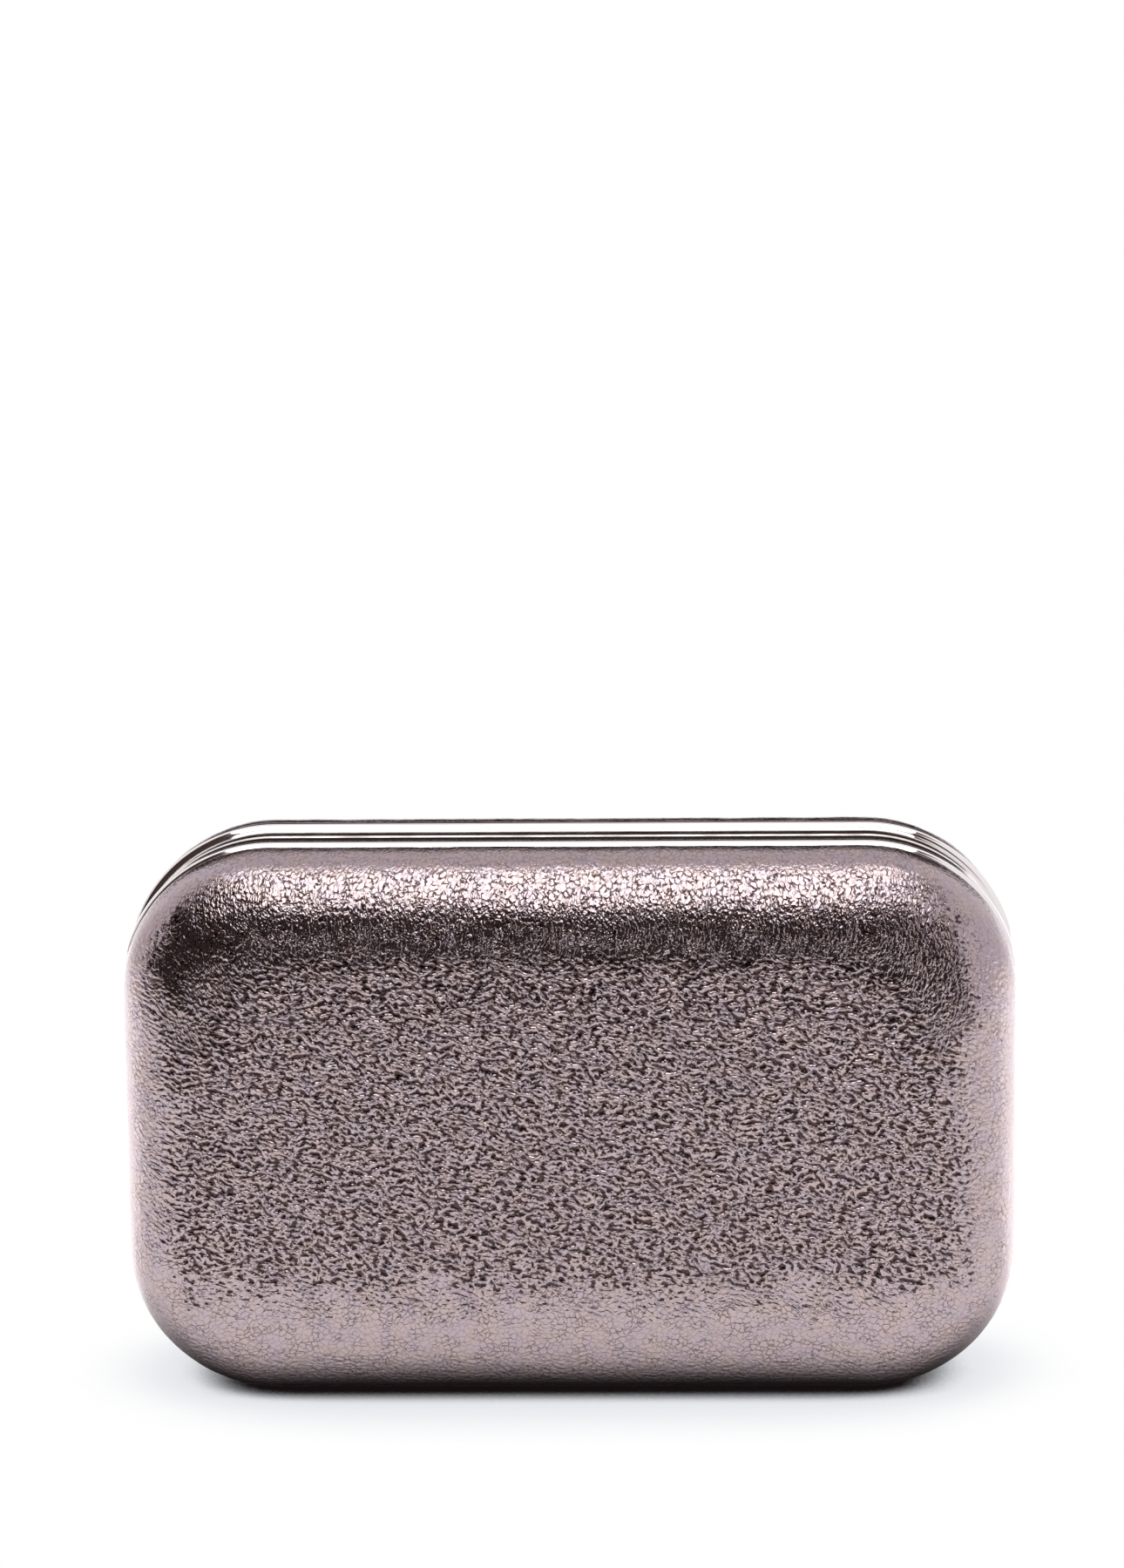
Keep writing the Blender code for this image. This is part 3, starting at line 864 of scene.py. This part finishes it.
def pocketMesh():
    bevel, face, back = pocket["edgeRadius"], pocketLow.y, pocketHigh.y
    eased = pocket["edgeShare"] * bevel

    def station(depth, shrink):
        return depth, pocketHigh.x - shrink, pocketHeight / 2 - shrink, pocket["cornerRadius"] - shrink

    front = [station(face + bevel, 0), station(face + eased, eased), station(face, bevel),
             station(face, pocket["flatInset"])]
    rear = [station(back - bevel, 0), station(back, bevel)]
    mesh = dishMesh(1, front, rear, pocket["countX"], pocket["countZ"], 0)
    hemEnd = pocketHigh.z - pocket["hemHeight"]
    for vert in mesh.vertices:
        if vert.co.y < face + eased / 2:
            lift = min(max((vert.co.z - hemEnd) / pocket["hemStep"], 0), 1)
            vert.co.y -= pocket["hemThickness"] * lift
        vert.co.y -= pocketSlack(vert.co.x, vert.co.z)
    return mesh


# A row of stitches along a line: short thread capsules that lie on the cloth
def stitchTree():
    add, given = startTree("stitches", Float=("Spacing", "Length", "Thread Radius"), Int=("Sides", "Rings"))
    line = add("GeometryNodeMeshToCurve", {"Mesh": given["Geometry"]})
    places = add("GeometryNodeCurveToPoints", {"Curve": line, "Length": given["Spacing"]}, mode="LENGTH")
    half = add("Math", {0: given["Length"], 1: 0.5}, operation="MULTIPLY")
    size = add("CombineXYZ", {"X": given["Thread Radius"], "Y": given["Thread Radius"], "Z": half})
    bead = add("GeometryNodeMeshUVSphere", {
        "Segments": given["Sides"], "Rings": given["Rings"], "Radius": 1.0})
    turn = add("FunctionNodeAlignRotationToVector", {"Vector": places.outputs["Tangent"]}, axis="Z")
    placed = add("GeometryNodeInstanceOnPoints", {
        "Points": places, "Instance": bead, "Rotation": turn, "Scale": size})
    return endTree(placed, given["Material"])


# Lines that the stitches follow: down one side, along the foot and up the other, and one for the hem
def stitchLines():
    inset, steps = pocket["stitchInset"], pocket["cornerSteps"]
    radius = pocket["cornerRadius"] - inset
    halfX, foot, mouth = pocketHigh.x - inset, pocketLow.z + inset, pocketHigh.z - pocket["hemHeight"]
    depth = pocketLow.y - pocket["threadRadius"] / 2
    points = [(-halfX, depth, mouth)]
    for sign, start in ((-1, math.pi), (1, 1.5 * math.pi)):
        for step in range(steps + 1):
            angle = start + math.pi / 2 * step / steps
            points.append((sign * (halfX - radius) + radius * math.cos(angle), depth,
                           foot + radius + radius * math.sin(angle)))
    points.append((halfX, depth, mouth))
    edges = [(i, i + 1) for i in range(len(points) - 1)]
    hem = len(points)
    raised = depth - pocket["hemThickness"]
    level = mouth + inset / 2
    for step in range(pocket["countX"] + 1):
        x = halfX * (2 * step / pocket["countX"] - 1)
        points.append((x, raised - pocketSlack(x, level), level))
    edges += [(hem + i, hem + i + 1) for i in range(pocket["countX"])]
    mesh = bpy.data.meshes.new("stitchLines")
    mesh.from_pydata(points, edges, [])
    return mesh


slipPocket = addPiece("rearSlipPocket", pocketMesh(), materials["satin"], bodies["rear"],
                      ["rear_slip_pocket"])
sewn = runTree(stitchLines(), stitchTree(), {
    "Spacing": pocket["stitchSpacing"], "Length": pocket["stitchLength"], "Sides": pocket["threadSides"],
    "Thread Radius": pocket["threadRadius"], "Rings": pocket["threadRings"], "Material": materials["thread"],
})
pocketStitches = addPiece("pocketStitches", sewn, materials["thread"], bodies["rear"])
print("slip pocket made")


# Rivets: a domed head on a shank, set where the frame has them

rivet = {
    "headHeight": 0.6 * mm,
    "shankRadius": 0.5 * mm,
    "sides": 24,
    "rings": 16,
}


def rivetTree():
    add, given = startTree("rivets", Float=("Head Radius", "Head Height", "Shank Radius", "Shank Length"),
                           Int=("Sides", "Rings"), Rotation=("Turn",))
    ball = add("GeometryNodeMeshUVSphere", {
        "Segments": given["Sides"], "Rings": given["Rings"], "Radius": given["Head Radius"]})
    place = add("SeparateXYZ", {0: add("GeometryNodeInputPosition")}).outputs
    flat = add("Math", {0: given["Head Height"], 1: given["Head Radius"]}, operation="DIVIDE")
    above = add("Math", {0: place["Z"], 1: 0.0}, operation="MAXIMUM")
    above = add("Math", {0: above, 1: flat}, operation="MULTIPLY")
    domed = add("CombineXYZ", {"X": place["X"], "Y": place["Y"], "Z": above})
    head = add("GeometryNodeSetPosition", {"Geometry": ball, "Position": domed})
    shank = add("GeometryNodeMeshCylinder", {
        "Vertices": given["Sides"], "Radius": given["Shank Radius"], "Depth": given["Shank Length"]})
    down = add("Math", {0: given["Shank Length"], 1: -0.5}, operation="MULTIPLY")
    drop = add("CombineXYZ", {"Z": down})
    shank = add("GeometryNodeTransform", {"Geometry": shank, "Translation": drop})
    whole = add("GeometryNodeJoinGeometry", {"Geometry": head})
    setInputs(whole, {"Geometry": shank})
    placed = add("GeometryNodeInstanceOnPoints", {
        "Points": given["Geometry"], "Instance": whole, "Rotation": given["Turn"]})
    return endTree(placed, given["Material"])


setRivets = rivetTree()
for half, side in halves.items():
    nodes = [f"{name}_hinge_{half}_rivet_{number}" for name in hinge["names"] for number in (1, 2)]
    boxes = [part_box(node) for node in nodes]
    low, high = boxes[0]
    headStart = max(abs(low.y), abs(high.y)) - rivet["headHeight"]
    shankStart = min(abs(low.y), abs(high.y))
    points = bpy.data.meshes.new("rivetPlaces")
    points.from_pydata([((a.x + b.x) / 2, side * headStart, (a.z + b.z) / 2) for a, b in boxes], [], [])
    heads = runTree(points, setRivets, {
        "Head Radius": (high.x - low.x) / 2, "Head Height": rivet["headHeight"],
        "Shank Radius": rivet["shankRadius"], "Shank Length": headStart - shankStart,
        "Sides": rivet["sides"], "Rings": rivet["rings"], "Turn": (-side * math.pi / 2, 0, 0),
        "Material": materials["steel"],
    })
    addPiece(f"{half}Rivets", heads, materials["steel"], bodies[half], nodes, smoothAngle=50)
print("rivets made")


# Hinges and catch: the frame's own shapes with their edges broken, as tumbled parts have them

hardware = {
    "edgeBreak": 0.09 * mm,
    "edgeSteps": 2,
    "edgeAngle": math.radians(35),
    "flatAngle": math.radians(1),
    "mergeDistance": 0.001 * mm,
}


def brokenEdges(node):
    shape = bmesh.new()
    shape.from_mesh(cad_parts[node].data)
    bmesh.ops.remove_doubles(shape, verts=shape.verts, dist=hardware["mergeDistance"])
    bmesh.ops.dissolve_limit(shape, angle_limit=hardware["flatAngle"], verts=shape.verts, edges=shape.edges)
    mesh = bpy.data.meshes.new(node)
    shape.to_mesh(mesh)
    shape.free()
    item = addObject("working", mesh)
    bevel = item.modifiers.new("edges", "BEVEL")
    bevel.width = hardware["edgeBreak"]
    bevel.segments = hardware["edgeSteps"]
    bevel.limit_method = "ANGLE"
    bevel.angle_limit = hardware["edgeAngle"]
    return bakedMesh(item)


hardwarePieces = [
    (f"{name}Hinge{half.title()}Leaf", f"{name}_hinge_{half}_leaf", half, "hinge_steel", "steel")
    for name in hinge["names"] for half in halves
]
hardwarePieces += [
    ("frontStrikePlate", "front_strike_plate", "front", "catch_steel", "steel"),
    ("magnetCup", "rear_magnet_cup", "rear", "catch_steel", "steel"),
    ("magnetBar", "rear_magnet", "rear", "magnet", "magnet"),
]
for name, node, half, slot, finish in hardwarePieces:
    addPiece(name, brokenEdges(node), materials[finish], bodies[half], [node], smoothAngle=30)
print("hinges and catch made")

# The shells and the hinge pins keep the frame's own shape
for name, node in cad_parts.items():
    if not node.hide_render:
        node.data.materials.clear()
        node.data.materials.append(materials["board"] if name.endswith("_shell") else materials["steel"])


# Stage: lengths in metres, angles in degrees and power in watts

stage = {
    "floorFront": 0.37,
    "floorBack": 0.55,
    "floorSide": 0.8,
    "floorColour": "#f6f6f6",
    "floorRoughness": 0.9,
    "footHalfWidth": 56 * mm,
    "footHalfDepth": 12 * mm,
    "mirrorShadow": (6 * mm, 25 * mm),
    "mirrorShadowSide": 0.35,
    "mirrorShadowColour": "#403c3c",
    "shadowColour": "#1a1213",
    "shadowReach": 22 * mm,
    "shadowShares": (0.12, 0.38),
    "softShadowColour": "#e6e8ec",
    "softShadowReach": 45 * mm,
    "softShadowShares": (0.4, 0.8),
    "mirrorFill": 0.27,
    "fillDepths": (-0.34, -0.08),
    "frontFade": (-0.37, -0.28),
    "frontShade": 0.3,
    "mirrorFillBehind": 0.85,
    "behindDepths": (0.0, 0.05),
    "lampSize": (1.1, 1.5),
    "lampPlace": (0, -0.575, 1.12),
    "lampPower": 16,
    "scrimColour": "#fbf8fc",
    "darkColour": "#ffd9cc",
    "darkStudio": 0.03,
    "darkFront": 0.05,
    "scrim": 0.92,
    "scrimAngles": (25, 32, 78, 84),
    "cards": (
        (1, 0.97, (36, 44, 150, 160)),
        (1, 1.1, (114, 130, 150, 160)),
        (-1, 0.78, (80, 108, 150, 160)),
        (-1, 1.1, (114, 130, 150, 160)),
    ),
    "cardTop": (62, 48),
    "tableBehind": 1.35,
    "tableEdge": (0.01, -0.02),
    "tableDepths": (-0.1, 0.1),
    "frontDepths": (-0.5, 0.0),
}


def addFloor():
    mesh = bpy.data.meshes.new("studioFloor")
    x, front, back = stage["floorSide"], -stage["floorFront"], stage["floorBack"]
    mesh.from_pydata([(-x, front, 0), (x, front, 0), (x, back, 0), (-x, back, 0)], [], [(0, 1, 2, 3)])
    material, shader, add, at = startMaterial("whiteFloor", {
        "Roughness": stage["floorRoughness"], "Emission Color": white})
    light = add("LightPath").outputs

    # What the clutch mirrors of the floor: dark close to where it stands, and lit again away from it
    foot = (stage["footHalfWidth"], stage["footHalfDepth"], 0)
    away = outsideRectangle(add, at["Object"], foot, stage["mirrorShadowSide"])
    depth = add("SeparateXYZ", {0: at["Object"]}).outputs["Y"]
    before = add("MapRange", {"Value": depth, **ends(*stage["fillDepths"], 0.0, stage["mirrorFill"])},
                 **smoothly)
    zones = {
        "lit": (away, stage["mirrorShadow"]),
        "fill": (depth, stage["behindDepths"], before, stage["mirrorFillBehind"]),
        "frontShade": (depth, stage["frontFade"], stage["frontShade"], 0.0),
    }
    for name, (value, reach, *levels) in zones.items():
        zones[name] = add("MapRange", {"Value": value, **ends(*reach, *levels)}, **smoothly)
    fill = add("Math", {0: zones["lit"], 1: zones["fill"]}, operation="MULTIPLY")
    fill = add("Math", {0: fill, 1: light["Is Glossy Ray"]}, operation="MULTIPLY")
    dark = add("Math", {0: 1.0, 1: zones["lit"]}, operation="SUBTRACT")
    dark = add("Math", {0: dark, 1: zones["frontShade"]}, operation="MAXIMUM")
    dark = add("Math", {0: dark, 1: light["Is Glossy Ray"]}, operation="MULTIPLY")
    tones = [toLinear(stage[name]) for name in ("floorColour", "mirrorShadowColour")]
    colour = add("Mix", {"Factor": dark, "A": tones[0], "B": tones[1]}, data_type="RGBA")
    setInputs(shader, {"Base Color": colour, "Emission Strength": fill})

    # To the camera the floor is clear over the white room and holds only the shadow of what stands
    # on it, so the front half still shows where it swings down past the floor
    both = white
    for name in ("shadow", "softShadow"):
        shelter = add("AmbientOcclusion", {"Distance": stage[name + "Reach"]}).outputs["AO"]
        share = add("MapRange", {"Value": shelter, **ends(*stage[name + "Shares"])}, **smoothly)
        tone = add("Mix", {"Factor": share, "A": toLinear(stage[name + "Colour"]), "B": white},
                   data_type="RGBA")
        both = add("Mix", {"Factor": 1.0, "A": both, "B": tone}, data_type="RGBA", blend_type="MULTIPLY")
    clear = add("BsdfTransparent", {"Color": both})
    behind = add("NewGeometry").outputs["Backfacing"]
    through = add("Math", {0: light["Is Shadow Ray"], 1: behind}, operation="MAXIMUM")
    solid = add("MixShader", {0: through, 1: shader, 2: add("BsdfTransparent")})
    seen = add("MixShader", {0: light["Is Camera Ray"], 1: solid, 2: clear})
    setInputs(material.node_tree.nodes["Material Output"], {"Surface": seen})
    mesh.materials.append(material)
    addObject("studioFloor", mesh)


def addSoftbox():
    lamp = bpy.data.lights.new("overheadSoftbox", "AREA")
    lamp.shape = "RECTANGLE"
    lamp.size, lamp.size_y = stage["lampSize"]
    lamp.energy = stage["lampPower"]
    addObject("overheadSoftbox", lamp).location = stage["lampPlace"]


# The room round the table, by direction: white to the camera, and to everything else a dark studio
# with a white scrim behind, a white card along each side and nothing at the front
def addRoom():
    world = bpy.data.worlds.new("whiteStudio")
    scene.world = world
    world.use_nodes = True
    add = partial(addNode, world.node_tree)

    def band(value, angles):
        low, lowEnd, highStart, high = (math.radians(a) for a in angles)
        rise = add("MapRange", {"Value": value, **ends(low, lowEnd)}, **smoothly)
        fall = add("MapRange", {"Value": value, **ends(high, highStart)}, **smoothly)
        return add("Math", {0: rise, 1: fall}, operation="MULTIPLY")

    way = add("SeparateXYZ", {0: add("TexCoord").outputs["Generated"]}).outputs
    overTop = add("Math", {0: way["Z"], 1: way["Y"]}, operation="ARCTAN2")
    height = add("Math", {0: way["Z"]}, operation="ARCSINE")
    forward = add("Math", {0: way["Y"], 1: -1.0}, operation="MULTIPLY")
    turn = add("Math", {0: way["X"], 1: forward}, operation="ARCTAN2")
    below = add("MapRange", {"Value": height, **ends(*(math.radians(a) for a in stage["cardTop"]))},
                **smoothly)
    level = add("Math", {0: band(overTop, stage["scrimAngles"]), 1: stage["scrim"]}, operation="MULTIPLY")
    lit = []
    for hand, strength, angles in stage["cards"]:
        angle = add("Math", {0: turn, 1: hand}, operation="MULTIPLY")
        card = add("Math", {0: band(angle, angles), 1: below}, operation="MULTIPLY")
        lit.append(add("Math", {0: card, 1: strength}, operation="MULTIPLY"))
    under = add("MapRange", {"Value": way["Z"], **ends(*stage["tableEdge"], 0.0, stage["tableBehind"])})
    rear = add("MapRange", {"Value": way["Y"], **ends(*stage["tableDepths"])})
    lit.append(add("Math", {0: under, 1: rear}, operation="MULTIPLY"))
    lit.append(add("MapRange", {
        "Value": way["Y"], **ends(*stage["frontDepths"], stage["darkFront"], stage["darkStudio"])}))
    for surface in lit:
        level = add("Math", {0: level, 1: surface}, operation="MAXIMUM")
    light = add("LightPath").outputs
    seen = add("Math", {0: light["Is Camera Ray"], 1: light["Is Transmission Ray"]})
    level = add("Mix", {"Factor": seen, "A": level, "B": 1.0})
    tone = add("Mix", {
        "Factor": level, "A": toLinear(stage["darkColour"]), "B": toLinear(stage["scrimColour"])},
        data_type="RGBA")
    tone = add("Mix", {"Factor": seen, "A": tone, "B": white}, data_type="RGBA")
    setInputs(world.node_tree.nodes["Background"], {"Strength": level, "Color": tone})


# The camera: metres, degrees and the photo's pixels
view = {
    "distance": 1.5198,
    "elevation": 16.609,
    "pitch": 14.034,
    "yaw": 1.810,
    "roll": -0.700,
    "focalPixels": 8112.6,
    "shiftPixels": 6.94,
    "imageHeight": 1800,
    "sensor": 36,
    "clip": (0.05, 50),
}


def addCamera():
    camera = bpy.data.cameras.new("camera")
    camera.sensor_width = view["sensor"]
    camera.lens = camera.sensor_width * view["focalPixels"] / view["imageHeight"]
    camera.shift_x = -view["shiftPixels"] / view["imageHeight"]
    camera.clip_start, camera.clip_end = view["clip"]
    item = addObject("camera", camera)
    rise, yaw = math.radians(view["elevation"]), math.radians(view["yaw"])
    flat = view["distance"] * math.cos(rise)
    height = view["distance"] * math.sin(rise)
    item.location = middle + Vector((flat * math.sin(yaw), -flat * math.cos(yaw), height))
    turn = Matrix.Rotation(yaw, 3, "Z") @ Matrix.Rotation(math.radians(90 - view["pitch"]), 3, "X")
    turn = turn @ Matrix.Rotation(math.radians(view["roll"]), 3, "Z")
    item.rotation_mode = "QUATERNION"
    item.rotation_quaternion = turn.to_quaternion()
    scene.camera = item


addFloor()
addSoftbox()
addRoom()
addCamera()
print("stage set")
